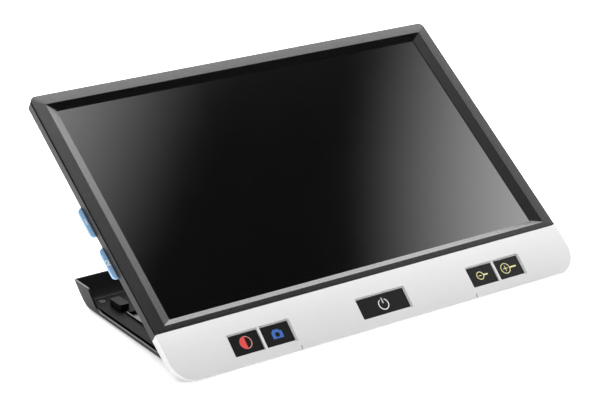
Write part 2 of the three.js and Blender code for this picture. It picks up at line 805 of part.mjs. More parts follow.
function standDeck() {
  const { half, front, rear, bottom, top } = DECK;
  const sideView = [
    [front, bottom],
    [rear - 2.4, bottom],
    [rear, top],
    [front, top],
  ];
  let shape = across(sideView, -half, half);
  const window = DECK_WINDOW;
  const above = top + CLEAR_OF;
  const { x, y, sink } = DECK_SCREW;
  for (const side of [-1, 1]) {
    const gap = sideBlock(side, window.from, window.to, [window.front, window.rear], [0, above]);
    shape = shape
      .subtract(gap)
      .subtract(discUp(SCREW_HOLE, 0, above, side * x, y, 16))
      .subtract(discUp(sink, top - 0.5, above, side * x, y, 16));
  }
  return shape;
}

function deckScrew(side) {
  const profile = DECK_SCREW_PROFILE.map(([r, z]) => [r, z + DECK.top]);
  return turned(profile, side * DECK_SCREW.x, DECK_SCREW.y, 16);
}

function stopBlock(side) {
  const { from, to, front, rear, top } = STOP_BLOCK;
  const [a, b] = side < 0 ? [-to, -from] : [from, to];
  return plate(outline([a, front], [b, rear], 1.2), DECK.top, top, 3);
}

// A grip pad under the front wedge; the wedge lies level along the table.
function lipPad(side) {
  return sideBlock(side, LIP_PAD.from, LIP_PAD.to, LIP_PAD.y, LIP_PAD.z);
}

// ---- Assembly --------------------------------------------------------------------------------
function screenUnit() {
  const unit = new THREE.Group();
  unit.position.set(0, SCREEN_Y, SCREEN_Z);
  unit.rotation.x = TILT;
  unit.add(named("front_bezel", bezel(), BLACK));
  unit.add(named("cover_glass", glass(), SCREEN));
  unit.add(named("lcd_panel", stackPlate(CELL_DEPTH), SCREEN));
  unit.add(named("backlight_panel", stackPlate(BACKLIGHT_DEPTH), CLEAR));
  unit.add(named("control_panel", controlPanel(), SILVER));
  unit.add(named("back_shell", backShell(), DARK));
  unit.add(frontKeys());
  for (const key of SIDE_KEYS) {
    unit.add(named(key.name, sideKey(key), BLUE));
    unit.add(named(key.name.replace("key", "switch"), sideSwitch(key), STEEL));
  }
  unit.add(named("side_key_board", sideBoard(), BOARD));
  unit.add(named("camera_board", block(CAMERA_BOARD.from, CAMERA_BOARD.to), BOARD));
  unit.add(named("camera_barrel", cameraBarrel(), KEY_BLACK));
  unit.add(named("camera_lens", cameraLens(), CLEAR));
  unit.add(named("battery_pack", batteryPack(), CELL));
  unit.add(named("main_board", block(MAIN_BOARD.from, MAIN_BOARD.to), BOARD));
  unit.add(named("processor_shield", block(SHIELD.from, SHIELD.to), STEEL));
  for (const [name, place] of Object.entries(PORTS)) {
    unit.add(named(name, port(place), STEEL));
  }
  for (const [name, place] of Object.entries(COVERS)) {
    unit.add(named(name, coverPlate(place), name === "battery_door" ? DARK : CLEAR));
  }
  const { head, length } = SHELL_SCREW;
  SHELL_SCREWS.forEach(([x, y], i) => {
    unit.add(named("shell_screw_" + (i + 1), screw(x, y, BACK + 0.05, head, length), STEEL));
  });
  unit.add(...both((side, hand) => named("hinge_bracket_" + hand, hingeBracket(side), STEEL)));
  unit.add(...both((side, hand) => named("friction_washer_" + hand, frictionWasher(side), STEEL)));
  unit.add(...both((side, hand) => named("bracket_screw_" + hand, bracketScrew(side), STEEL)));
  return unit;
}

function stand() {
  const group = new THREE.Group();
  group.add(named("stand_tray", standTray(), DARK));
  group.add(named("stand_deck", standDeck(), DARK));
  group.add(...both((side, hand) => named("hinge_pin_" + hand, hingePin(side), STEEL)));
  group.add(...both((side, hand) => named("deck_screw_" + hand, deckScrew(side), STEEL)));
  group.add(...both((side, hand) => named("stop_block_" + hand, stopBlock(side), RUBBER)));
  const foot = (side) => discUp(FOOT.radius, 0, FOOT.top, side * FOOT.x, FOOT.y);
  group.add(...both((side, hand) => named("rear_foot_" + hand, foot(side), RUBBER)));
  group.add(named("front_foot_strip", plate(footStrip(0), 0, FOOT.top, 3), RUBBER));
  return group;
}

const magnifier = new THREE.Group();
magnifier.add(screenUnit());
magnifier.add(stand());
magnifier.add(...both((side, hand) => named("lip_pad_" + hand, lipPad(side), RUBBER)));

export default magnifier;
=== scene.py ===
import json
import math

import bmesh
import bpy
from mathutils import Matrix, Vector

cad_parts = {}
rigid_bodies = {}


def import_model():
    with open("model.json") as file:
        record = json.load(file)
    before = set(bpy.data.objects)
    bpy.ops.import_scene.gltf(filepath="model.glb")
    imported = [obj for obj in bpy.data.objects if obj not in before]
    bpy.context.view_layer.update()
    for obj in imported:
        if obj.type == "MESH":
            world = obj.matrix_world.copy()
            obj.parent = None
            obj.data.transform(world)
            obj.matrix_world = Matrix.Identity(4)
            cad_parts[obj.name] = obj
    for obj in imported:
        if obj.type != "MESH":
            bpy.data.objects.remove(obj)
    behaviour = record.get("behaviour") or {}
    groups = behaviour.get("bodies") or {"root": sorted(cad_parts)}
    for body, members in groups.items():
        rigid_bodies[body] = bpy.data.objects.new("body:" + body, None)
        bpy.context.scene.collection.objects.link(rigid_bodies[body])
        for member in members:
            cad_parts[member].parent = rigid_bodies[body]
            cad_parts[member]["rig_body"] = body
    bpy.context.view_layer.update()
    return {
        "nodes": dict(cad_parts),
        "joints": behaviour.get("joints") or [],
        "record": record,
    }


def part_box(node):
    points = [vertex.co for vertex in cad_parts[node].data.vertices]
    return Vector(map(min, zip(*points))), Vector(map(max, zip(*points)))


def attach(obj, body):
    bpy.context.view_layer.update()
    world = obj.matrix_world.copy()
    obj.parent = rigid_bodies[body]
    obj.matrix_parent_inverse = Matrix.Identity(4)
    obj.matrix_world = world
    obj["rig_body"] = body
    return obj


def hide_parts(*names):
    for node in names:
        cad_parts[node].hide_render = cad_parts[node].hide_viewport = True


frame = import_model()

# Low vision magnifier: a screen unit tilted on a low stand, with a silver control panel at its front.
# Lengths inside the builders are millimetres. The screen unit's pieces are drawn in the screen's own
# frame: x across, y up the screen, z out of the glass, zero at the middle of the glass on the bezel's
# face. SCREEN and TABLE turn those into metres.

NODES = frame["nodes"]

# ---- Places taken from the frame -----------------------------------------------------------------
MM = 0.001
UNIT = "screen_unit"
STAND = "stand"
JOINTS = {joint["name"]: joint for joint in frame["joints"]}
TILT = -math.radians(JOINTS["screen_tilt"]["range_deg"][0])
OUT = Vector((0, -math.sin(TILT), math.cos(TILT)))
GLASS_FACE = -2.0
GLASS_THICK = 1.0


def middle(node):
    low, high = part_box(node)
    return (Vector(low) + Vector(high)) / 2


GLASS_DEPTH = GLASS_FACE - GLASS_THICK / 2
SCREEN_AT = middle("cover_glass") - OUT * GLASS_DEPTH * MM
TABLE = Matrix.Scale(MM, 4)
SCREEN = Matrix.Translation(SCREEN_AT) @ Matrix.Rotation(TILT, 4, "X") @ TABLE

# ---- Screen unit sizes, millimetres --------------------------------------------------------------
HALF_WIDTH = 141.0
REAR_EDGE = 83.2
SPLIT_LINE = -80.2
LIP = -110.6
REAR_RADIUS = 3.5
FRONT_RADIUS = 0.4
LIP_RADIUS = 14.0
SPIGOT_INSET = 2.4
PANEL_HALF = 141.5
BEZEL_REAR = 83.7
OPENING = (133.6, 76.4)
OPENING_FOOT = (128.1, 72.7)
CHAMFER_FOOT = -2.25
VISIBLE_GLASS = -2.85
GLASS_CORNER = 0.6
GLASS_GAP = 0.05
CROWN = 0.4
GROOVE_FROM = 0.5
GROOVE_TO = 2.3
GROOVE_FLOOR = -4.0
PANEL_RADIUS = 132.0
PANEL_CREST = -80.0
PANEL_THICK = 1.6
SKIRT = -6.2
PANEL_LIFT = 0.12
PANEL_WALL = 1.8
PANEL_EDGE = 0.55
KEY_LINE = -98.5
KEY_LEDGE = -1.0
KEY_FOOT = -2.8
RIB_TOP = -0.35
POCKET_HALF = 6.9
POCKET_RIM = 0.8
POCKET_RADIUS = 0.7
POCKET_FLARE = 0.22
POCKET_STEP = 0.02
KEY_HOLE_RADIUS = 0.6
CUT_TOP = 3.0
CUT_FOOT = -5.0
POWER_HALF = 17.4
OUTER_POCKET = (62.6, 103.2)
KEY_RIB = 1.5
KEY_GAP = 0.25
CAP_RADIUS = 0.7
CAP_EDGE = 0.3
NOTCH_X = 62.0
NOTCH_HALF = 0.4
NOTCH_DEEP = 2.4
SIDE_KEYS = {"side_key_1": (-9.7, 10.4), "side_key_2": (-37.9, -17.3)}
SIDE_KEY_OUTER = -143.6
SIDE_KEY_WALL = -138.0
SIDE_KEY_TOP = -7.4
SIDE_KEY_THICK = 1.6
SIDE_KEY_CORNERS = (2.2, 3.6)
SIDE_KEY_EDGE = 0.4
NUMERAL_SIZE = 5.0
NUMERAL_RAISED = 0.04
NUMERAL_BOLD = 0.14
KEY_SLOT = (-140.5, -136.0)
LIP_STEP = 127.0

# ---- Stand sizes, millimetres from the table's origin --------------------------------------------
TRAY_SIDE = 133.0
TRAY_SLOPE_FROM = 79.9
TRAY_FOOT = 0.5
CORNER_RADIUS = 1.6
DECK_TOP = 3.7
DECK_WINDOW = ((92.0, 120.4), (12.0, 55.4))
RAIL_WIDTH = 1.1
RAIL_HEIGHT = 0.9
RAIL_EDGE = 0.25

# ---- Clean-up sizes, millimetres and degrees -----------------------------------------------------
WELD = 2e-3
TINY = 1e-4
NEAR = 0.1
FLAT = 0.5


def panel_top(y):
    """Height of the silver panel's rolled face at y."""
    return math.sqrt(PANEL_RADIUS**2 - (y - PANEL_CREST) ** 2) - PANEL_RADIUS


def table_depth(y, height):
    """Depth in the screen's frame of a point this high above the table."""
    return (height - SCREEN_AT.z / MM - y * math.sin(TILT)) / math.cos(TILT)


KEY_TIP = math.asin((PANEL_CREST - KEY_LINE) / PANEL_RADIUS)
KEYS = (
    Matrix.Translation((0, KEY_LINE, panel_top(KEY_LINE)))
    @ Matrix.Rotation(KEY_TIP, 4, "X")
)


# ---- Mesh helpers --------------------------------------------------------------------------------
def rounded(x0, y0, x1, y1, near, far=None, steps=4):
    """Points of a rectangle with rounded corners, anticlockwise from the near left corner."""
    far = near if far is None else far
    corners = (
        (x0 + near, y0 + near, near, 2),
        (x1 - near, y0 + near, near, 3),
        (x1 - far, y1 - far, far, 0),
        (x0 + far, y1 - far, far, 1),
    )
    points = []
    for x, y, radius, turn in corners:
        for i in range(steps + 1):
            angle = (turn + i / steps) * math.pi / 2
            points.append((x + radius * math.cos(angle), y + radius * math.sin(angle)))
    return points


def at(points, z):
    return [(x, y, z) for x, y in points]


def fillet(radius, steps=3):
    """Pairs of inset and drop round a quarter edge, from the side wall to the top face."""
    turns = [i / steps * math.pi / 2 for i in range(steps + 1)]
    return [(radius * (1 - math.sin(a)), radius * (1 - math.cos(a))) for a in reversed(turns)]


def loft(loops, ring=False):
    """A closed bmesh through loops of equal length; a ring joins the last loop to the first."""
    bm = bmesh.new()
    rows = [[bm.verts.new(p) for p in loop] for loop in loops]
    count = len(rows[0])
    pairs = list(zip(rows, rows[1:]))
    if ring:
        pairs.append((rows[-1], rows[0]))
    else:
        bm.faces.new(list(reversed(rows[0])))
        bm.faces.new(rows[-1])
    for low, high in pairs:
        for i in range(count):
            j = (i + 1) % count
            bm.faces.new((low[i], low[j], high[j], high[i]))
    return bm


def shade(mesh, crease=32):
    """Smooth shading with edges sharper than the crease kept hard."""
    bm = bmesh.new()
    bm.from_mesh(mesh)
    bmesh.ops.recalc_face_normals(bm, faces=bm.faces)
    for face in bm.faces:
        face.smooth = True
    limit = math.radians(crease)
    for edge in bm.edges:
        edge.smooth = len(edge.link_faces) == 2 and edge.calc_face_angle(0.0) < limit
    bm.to_mesh(mesh)
    bm.free()


def piece(name, bm, material, body, place=SCREEN, replaces=(), crease=32):
    """An object from a bmesh drawn in millimetres, riding on a body."""
    mesh = bpy.data.meshes.new(name)
    bm.to_mesh(mesh)
    bm.free()
    mesh.transform(place)
    shade(mesh, crease)
    mesh.materials.append(material)
    made = bpy.data.objects.new(name, mesh)
    bpy.context.scene.collection.objects.link(made)
    even = made.modifiers.new("even", "WEIGHTED_NORMAL")
    even.keep_sharp = True
    even.weight = 100
    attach(made, body)
    if replaces:
        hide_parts(*replaces)
    return made


def carve(bm, cutters):
    """The bmesh with each cutter's closed bmesh taken away."""
    mesh = bpy.data.meshes.new("carved")
    bm.to_mesh(mesh)
    bm.free()
    whole = bpy.data.objects.new("carved", mesh)
    bpy.context.scene.collection.objects.link(whole)
    tools = []
    for cutter in cutters:
        bmesh.ops.recalc_face_normals(cutter, faces=cutter.faces)
        tool_mesh = bpy.data.meshes.new("cutter")
        cutter.to_mesh(tool_mesh)
        cutter.free()
        tool = bpy.data.objects.new("cutter", tool_mesh)
        bpy.context.scene.collection.objects.link(tool)
        cut = whole.modifiers.new("cut", "BOOLEAN")
        cut.operation = "DIFFERENCE"
        cut.solver = "EXACT"
        cut.object = tool
        tools.append(tool)
    bpy.context.view_layer.update()
    graph = bpy.context.evaluated_depsgraph_get()
    result = bmesh.new()
    result.from_mesh(whole.evaluated_get(graph).to_mesh())
    for extra in [whole, *tools]:
        bpy.data.objects.remove(extra)
    return result


def block(x0, y0, z0, x1, y1, z1, radius=0.0, place=None):
    """A closed box, its upright corners rounded when a radius is given."""
    outline = rounded(x0, y0, x1, y1, max(radius, 1e-3), steps=4 if radius else 1)
    bm = loft([at(outline, z0), at(outline, z1)])
    if place is not None:
        bmesh.ops.transform(bm, matrix=place, verts=bm.verts)
    return bm


# ---- Materials -----------------------------------------------------------------------------------
class Nodes:
    """A node tree being wired up."""

    def __init__(self, name):
        self.material = bpy.data.materials.new(name)
        self.material.use_nodes = True
        self.tree = self.material.node_tree
        self.surface = self.tree.nodes["Principled BSDF"]
        self.place = self.tree.nodes.new("ShaderNodeTexCoord").outputs["Object"]

    def add(self, kind, **values):
        node = self.tree.nodes.new(kind)
        for key, value in values.items():
            if key in node.inputs:
                node.inputs[key].default_value = value
            else:
                setattr(node, key, value)
        return node

    def link(self, source, target):
        self.tree.links.new(source, target)

    def noise(self, per_mm, detail=2.0, rough=0.5):
        node = self.add("ShaderNodeTexNoise", Scale=per_mm / MM, Detail=detail, Roughness=rough)
        self.link(self.place, node.inputs["Vector"])
        return node.outputs["Fac"]

    def span(self, source, low, high, start=0.3, end=0.7):
        node = self.add("ShaderNodeMapRange")
        self.link(source, node.inputs["Value"])
        for key, value in (
            ("From Min", start),
            ("From Max", end),
            ("To Min", low),
            ("To Max", high),
        ):
            node.inputs[key].default_value = value
        return node.outputs["Result"]

    def mix(self, factor, first, second):
        node = self.add("ShaderNodeMix", data_type="RGBA")
        self.link(factor, node.inputs["Factor"])
        node.inputs[6].default_value = (*first, 1)
        node.inputs[7].default_value = (*second, 1)
        return node.outputs[2]

    def bump(self, height, depth_mm):
        node = self.add("ShaderNodeBump", Strength=1.0, Distance=depth_mm * MM)
        self.link(height, node.inputs["Height"])
        self.link(node.outputs["Normal"], self.surface.inputs["Normal"])


def moulded(name, colour, rough, grain=3.0, depth=0.02, drift=0.12, level=0.5, ior=1.5):
    """Moulded plastic: fine sparked grain, with slow drifts of tone and gloss."""
    tree = Nodes(name)
    slow = tree.noise(0.03, 3)
    dark = [c * (1 - drift) for c in colour]
    light = [c * (1 + drift) for c in colour]
    tree.link(tree.mix(tree.span(slow, 0, 1), dark, light), tree.surface.inputs["Base Color"])
    fine = tree.noise(grain, 4, 0.65)
    tree.link(tree.span(fine, rough * 0.85, rough * 1.15), tree.surface.inputs["Roughness"])
    tree.bump(fine, depth)
    tree.surface.inputs["Specular IOR Level"].default_value = level
    tree.surface.inputs["IOR"].default_value = ior
    return tree.material


def painted(name, colour):
    """Satin silver-white paint over smooth plastic, with a faint orange peel."""
    tree = Nodes(name)
    slow = tree.noise(0.02, 2)
    lower = [c * 0.97 for c in colour]
    tree.link(tree.mix(tree.span(slow, 0, 1), lower, colour), tree.surface.inputs["Base Color"])
    flake = tree.noise(9, 2)
    tree.link(tree.span(flake, 0.3, 0.4), tree.surface.inputs["Roughness"])
    tree.bump(tree.noise(0.7, 2), 0.004)
    tree.surface.inputs["Metallic"].default_value = 0.1
    return tree.material


def screen_glass(name):
    """Dark display glass: polished, very slightly uneven, with a faint smear of gloss."""
    tree = Nodes(name)
    slow = tree.noise(0.012, 2)
    tint = tree.mix(tree.span(slow, 0, 1), (0.002, 0.002, 0.0022), (0.0022, 0.0022, 0.0024))
    tree.link(tint, tree.surface.inputs["Base Color"])
    tree.link(tree.span(tree.noise(0.05, 3), 0.05, 0.06), tree.surface.inputs["Roughness"])
    tree.surface.inputs["IOR"].default_value = 2.7
    return tree.material


def steel(name, colour=(0.55, 0.56, 0.57), rough=0.32):
    """Turned and pressed steel with fine drawn lines."""
    tree = Nodes(name)
    stretch = tree.add("ShaderNodeMapping")
    stretch.inputs["Scale"].default_value = (0.15, 1, 1)
    tree.link(tree.place, stretch.inputs["Vector"])
    lines = tree.add("ShaderNodeTexNoise", Scale=6 / MM, Detail=3.0)
    tree.link(stretch.outputs["Vector"], lines.inputs["Vector"])
    drawn = lines.outputs["Fac"]
    darker = [c * 0.8 for c in colour]
    tree.link(tree.mix(tree.span(drawn, 0, 1), darker, colour), tree.surface.inputs["Base Color"])
    tree.link(tree.span(drawn, rough * 0.8, rough * 1.3), tree.surface.inputs["Roughness"])
    tree.bump(drawn, 0.006)
    tree.surface.inputs["Metallic"].default_value = 1.0
    return tree.material


def clear(name, colour):
    """Tinted clear window, polished, with faint moulding waves."""
    tree = Nodes(name)
    wave = tree.noise(0.2, 2)
    darker = [c * 0.8 for c in colour]
    tree.link(tree.mix(tree.span(wave, 0, 1), darker, colour), tree.surface.inputs["Base Color"])
    tree.link(tree.span(wave, 0.04, 0.08), tree.surface.inputs["Roughness"])
    tree.bump(wave, 0.01)
    tree.surface.inputs["IOR"].default_value = 1.5
    tree.surface.inputs["Transmission Weight"].default_value = 0.6
    return tree.material


def circuit(name):
    """Solder-masked board: green with a fine trace-like texture."""
    tree = Nodes(name)
    cells = tree.add("ShaderNodeTexVoronoi", Scale=0.6 / MM, distance="CHEBYCHEV")
    tree.link(tree.place, cells.inputs["Vector"])
    traces = tree.span(cells.outputs["Distance"], 0, 1, 0.1, 0.5)
    green = tree.mix(traces, (0.012, 0.09, 0.035), (0.03, 0.16, 0.07))
    tree.link(green, tree.surface.inputs["Base Color"])
    tree.link(tree.span(traces, 0.3, 0.5, 0, 1), tree.surface.inputs["Roughness"])
    tree.bump(traces, 0.03)
    return tree.material


def ink(name, colour, rough=0.4):
    """Printed mark: flat ink with a faint screen-print mottle."""
    tree = Nodes(name)
    dots = tree.noise(5, 2)
    lower = [c * 0.88 for c in colour]
    tree.link(tree.mix(tree.span(dots, 0, 1), lower, colour), tree.surface.inputs["Base Color"])
    tree.link(tree.span(dots, rough * 0.9, rough * 1.1), tree.surface.inputs["Roughness"])
    return tree.material


BEZEL = moulded("bezel_black", (0.0035, 0.0035, 0.0037), 0.22, grain=1.6, depth=0.06, level=0.4)
CHASSIS = moulded("chassis_grey", (0.012, 0.0117, 0.0115), 0.4, grain=2.2, depth=0.03, level=0.25)
TRAY = moulded("tray_black", (0.006, 0.006, 0.0063), 0.42, grain=2.0, depth=0.03, ior=1.3)
# Painted shade: the deck gets a darker, barely reflecting copy of the tray's black plastic, which stands
# in for the shade under the screen unit.
DECK_PAINTED_SHADE = moulded("deck_black_painted_shade", (0.002, 0.002, 0.002), 0.5, grain=2.0, depth=0.03, ior=1.08)
DARK_STEEL = steel("steel_blackened", (0.012, 0.012, 0.012), 0.5)
KEY = moulded("key_black", (0.003, 0.003, 0.003), 0.3, grain=4.0, depth=0.01, level=0.25)
BLUE = moulded("key_blue", (0.30, 0.50, 0.76), 0.35, grain=4.0, depth=0.006, drift=0.05)
SILVER = painted("panel_silver", (0.58, 0.575, 0.575))
GLASS = screen_glass("screen_glass")
RUBBER = moulded("rubber_black", (0.006, 0.006, 0.006), 0.7, grain=1.2, depth=0.05, level=0.1)
STEEL = steel("steel_drawn")
WINDOW = clear("window_smoke", (0.16, 0.17, 0.18))
DIFFUSER = clear("window_lamp", (0.75, 0.77, 0.78))
BOARD = circuit("board_green")
WRAP = moulded("battery_wrap", (0.05, 0.08, 0.15), 0.3, grain=0.5, depth=0.05)
WHITE = moulded("backlight_white", (0.75, 0.75, 0.74), 0.5)

RED_INK = ink("ink_red", (0.62, 0.045, 0.04))
PINK_INK = ink("ink_pink", (0.62, 0.25, 0.24))
BLUE_INK = ink("ink_blue", (0.022, 0.1, 0.36))
GREY_INK = ink("ink_grey", (0.68, 0.69, 0.70))
YELLOW_INK = ink("ink_yellow", (0.75, 0.72, 0.33))
WHITE_INK = ink("ink_white", (0.95, 0.96, 0.97))


# ---- Screen unit: bezel and glass ----------------------------------------------------------------
def outer_edge(inset):
    """The bezel's outline; the near side meets the silver panel."""
    half = HALF_WIDTH - inset
    near = max(FRONT_RADIUS - inset, 0.05)
    far = max(REAR_RADIUS - inset, 0.3)
    return rounded(-half, SPLIT_LINE + inset, half, BEZEL_REAR - inset, near, far, 6)


def inner_edge(size, grow=0.0):
    x, y = size
    return rounded(-x - grow, -y - grow, x + grow, y + grow, 0.4, steps=6)


def crowned(points, z):
    """The points at a height, the far ones lower, because the bezel's rear strip leans back a little."""
    return [(x, y, z - CROWN if y > 0 else z) for x, y in points]


def bezel():
    edge, rim, lip, low = 0.25, -0.42, 0.25, -3.0
    loops = [crowned(outer_edge(0.1), rim), crowned(outer_edge(0), rim + 0.1)]
    loops += [crowned(outer_edge(inset), -drop) for inset, drop in fillet(edge)]
    for grow, drop in ((lip * 1.2, 0), (lip * 0.5, 0.05), (-lip * 0.2, 0.2)):
        loops.append(at(inner_edge(OPENING, grow), -drop))
    loops += [
        at(inner_edge(OPENING_FOOT, 0.12), CHAMFER_FOOT),
        at(inner_edge(OPENING_FOOT), CHAMFER_FOOT - 0.12),
        at(inner_edge(OPENING_FOOT), low),
        crowned(outer_edge(SPIGOT_INSET), low),
        crowned(outer_edge(SPIGOT_INSET), rim),
    ]
    return piece("bezel_frame", loft(loops, ring=True), BEZEL, UNIT, replaces=["front_bezel"])


def glass():
    half, top, edge = OPENING_FOOT[0] - GLASS_GAP, OPENING_FOOT[1] - GLASS_GAP, 0.04
    loops = [at(rounded(-half, -top, half, top, GLASS_CORNER), GLASS_FACE - GLASS_THICK)]
    for inset, drop in fillet(edge, 2):
        radius = GLASS_CORNER - inset
        outline = rounded(-half + inset, -top + inset, half - inset, top - inset, radius)
        loops.append(at(outline, VISIBLE_GLASS - drop))
    return piece("display_glass", loft(loops), GLASS, UNIT, replaces=["cover_glass"])


# ---- Screen unit: silver control panel -----------------------------------------------------------
def panel_edge(inset):
    """Left edge of the panel from rear to front, as x (positive) and y."""
    start = SPLIT_LINE - 0.3 - max(inset - 1.0, 0)
    turn = LIP + LIP_RADIUS
    straight = 10
    points = [
        (PANEL_HALF - inset, start + (turn - start) * i / straight) for i in range(straight)
    ]
    radius = LIP_RADIUS - inset
    bends = 16
    for i in range(bends + 1):
        angle = math.pi / 2 * i / bends
        x = PANEL_HALF - LIP_RADIUS + radius * math.cos(angle)
        points.append((x, turn - radius * math.sin(angle)))
    return points


def panel_loop(inset, height):
    """Loop round the panel at an inset; height gives z for a point's y."""
    side = panel_edge(inset)
    left = [(-x, y, height(y)) for x, y in side]
    right = [(x, y, height(y)) for x, y in reversed(side)]
    return left + right


def panel_foot(y):
    return max(SKIRT, table_depth(y, PANEL_LIFT))


def panel_strips(bm, loop, up):
    """Closes a panel loop with strips between its left and right points."""
    half = len(loop) // 2
    for i in range(half - 1):
        corners = [loop[i], loop[i + 1], loop[-2 - i], loop[-1 - i]]
        bm.faces.new(corners if up else list(reversed(corners)))


def panel_body():
    """The panel without its pockets: a rolled plate with a skirt down to the table."""

    def shoulder(drop):
        return lambda y: panel_top(y) - min(drop, (panel_top(y) - panel_foot(y)) * 0.45)

    heights = [(PANEL_WALL, lambda y: max(panel_top(y) - PANEL_THICK, panel_foot(y) + 0.02))]
    heights += [(PANEL_WALL, panel_foot), (0.2, panel_foot)]
    heights += [(0.0, lambda y: panel_foot(y) + 0.15)]
    heights += [(inset, shoulder(drop)) for inset, drop in fillet(PANEL_EDGE, 4)]
    bm = bmesh.new()
    rows = [[bm.verts.new(p) for p in panel_loop(inset, z)] for inset, z in heights]
    count = len(rows[0])
    for low, high in zip(rows, rows[1:]):
        for i in range(count):
            j = (i + 1) % count
            bm.faces.new((low[i], low[j], high[j], high[i]))
    panel_strips(bm, rows[0], up=False)
    panel_strips(bm, rows[-1], up=True)
    bmesh.ops.remove_doubles(bm, verts=bm.verts, dist=TINY)
    bmesh.ops.recalc_face_normals(bm, faces=bm.faces)
    return bm


def key_spans():
    """Each key's body with the span of its opening along x."""
    near, far = OUTER_POCKET[0] + POCKET_RIM, OUTER_POCKET[1] - POCKET_RIM
    centre, rib = (near + far) / 2, KEY_RIB / 2
    power = POWER_HALF - POCKET_RIM
    return {
        "contrast_button": (-far, -centre - rib),
        "capture_button": (-centre + rib, -near),
        "power_button": (-power, power),
        "zoom_out_button": (near, centre - rib),
        "zoom_in_button": (centre + rib, far),
    }


def flared(x0, x1, floor_at):
    """A pocket's cutter, wider near the surface, so that the rim it leaves is rounded over."""
    y0, y1, radius, chamfer = -POCKET_HALF, POCKET_HALF, POCKET_RADIUS, POCKET_FLARE
    loops = [at(rounded(x0, y0, x1, y1, radius), floor_at)]
    loops.append(at(rounded(x0, y0, x1, y1, radius), -chamfer))
    for share in (0.35, 0.75, 1.0):
        grow = chamfer * (1 - math.cos(share * math.pi / 2))
        z = -chamfer + chamfer * math.sin(share * math.pi / 2)
        outline = rounded(x0 - grow, y0 - grow, x1 + grow, y1 + grow, radius + grow)
        loops.append(at(outline, z))
    top = rounded(x0 - chamfer, y0 - chamfer, x1 + chamfer, y1 + chamfer, radius + chamfer)
    loops.append(at(top, CUT_TOP))
    bm = loft(loops)
    bmesh.ops.transform(bm, matrix=KEYS, verts=bm.verts)
    return bm


def pocket_cutters():
    """Two paired pockets with a rib between their keys, and the power key's pocket."""
    low, high = OUTER_POCKET
    centre, rib = (low + high) / 2, KEY_RIB / 2
    cutters = [
        flared(-high, -low, RIB_TOP),
        flared(-POWER_HALF, POWER_HALF, KEY_LEDGE),
        flared(low, high, RIB_TOP),
    ]
    cell = POCKET_HALF - POCKET_STEP
    for x0, x1 in ((low + POCKET_STEP, centre - rib), (centre + rib, high - POCKET_STEP)):
        for a, b in ((x0, x1), (-x1, -x0)):
            cutters.append(block(a, -cell, KEY_LEDGE, b, cell, CUT_TOP, POCKET_RADIUS, KEYS))
    return cutters


def control_panel():
    cutters = pocket_cutters()
    half = POCKET_HALF - POCKET_RIM
    for x0, x1 in key_spans().values():
        cutters.append(block(x0, -half, CUT_FOOT, x1, half, CUT_TOP, KEY_HOLE_RADIUS, KEYS))
    for x in (-NOTCH_X, NOTCH_X):
        cutters.append(block(x - NOTCH_HALF, LIP - 2, -9, x + NOTCH_HALF, LIP + NOTCH_DEEP, 2))
    bm = carve(panel_body(), cutters)
    return piece("silver_panel", bm, SILVER, UNIT, replaces=["control_panel"], crease=28)


# ---- Keys and their printed marks ----------------------------------------------------------------
def key_cap(name, span):
    half = POCKET_HALF - POCKET_RIM - KEY_GAP
    x0, x1 = span[0] + KEY_GAP, span[1] - KEY_GAP
    loops = [at(rounded(x0, -half, x1, half, CAP_RADIUS), KEY_FOOT)]
    for inset, drop in fillet(CAP_EDGE):
        radius = CAP_RADIUS - inset
        outline = rounded(x0 + inset, -half + inset, x1 - inset, half - inset, radius)
        loops.append(at(outline, KEY_LEDGE - drop))
    place = SCREEN @ KEYS
    return piece(name + "_cap", loft(loops), KEY, name, place, replaces=[name])


MARK_FOOT = KEY_LEDGE - 0.05
MARK_FACE = KEY_LEDGE + 0.04
MARK_LINE = 0.45
RING_STEPS = 40


def slab(outline, foot=MARK_FOOT, face=MARK_FACE):
    return loft([at(outline, foot), at(outline, face)])


def arc(cx, cy, radius, start, end, steps=28):
    """Points along an arc, angles in degrees."""
    turns = [math.radians(start + (end - start) * i / steps) for i in range(steps + 1)]
    return [(cx + radius * math.cos(a), cy + radius * math.sin(a)) for a in turns]


def ring(cx, cy, radius, width, start=0.0, end=360.0):
    """A flat ring, or a piece of one."""
    if end - start < 360:
        outline = arc(cx, cy, radius, start, end) + arc(cx, cy, radius - width, end, start)
        return slab(outline)
    last = 360 - 360 / RING_STEPS
    outer = arc(cx, cy, radius, 0, last, RING_STEPS - 1)
    inner = arc(cx, cy, radius - width, 0, last, RING_STEPS - 1)
    loops = [at(outer, MARK_FOOT), at(outer, MARK_FACE), at(inner, MARK_FACE), at(inner, MARK_FOOT)]
    return loft(loops, ring=True)


def bar(x0, y0, x1, y1):
    return slab([(x0, y0), (x1, y0), (x1, y1), (x0, y1)])


def joined(*parts):
    """The parts as one bmesh."""
    whole = bmesh.new()
    for part in parts:
        mesh = bpy.data.meshes.new("part")
        part.to_mesh(mesh)
        part.free()
        whole.from_mesh(mesh)
        bpy.data.meshes.remove(mesh)
    return whole


def mark(name, bm, material, body):
    made = piece(name, bm, material, body, SCREEN @ KEYS)
    return made


def contrast_mark(x):
    mark("contrast_mark_ring", ring(x, 0.4, 3.75, MARK_LINE), PINK_INK, "contrast_button")
    half = slab(arc(x, 0.4, 3.65, 90, 270), MARK_FOOT, MARK_FACE + 0.01)
    mark("contrast_mark_half", half, RED_INK, "contrast_button")


def camera_mark(x):
    left, right, foot, top = x - 3.3, x + 3.5, -2.4, 1.9
    outline = [
        (left, foot),
        (right, foot),
        (right, top - 0.6),
        (right - 0.6, top),
        (x + 2.0, top),
        (x + 1.2, top + 1.1),
        (x - 1.9, top + 1.1),
        (x - 2.6, top),
        (left + 0.6, top),
        (left, top - 0.6),
    ]
    body = carve(slab(outline), [slab(arc(x + 0.1, -0.15, 1.5, 0, 345, 23), -3, 3)])
    mark("capture_mark", body, BLUE_INK, "capture_button")


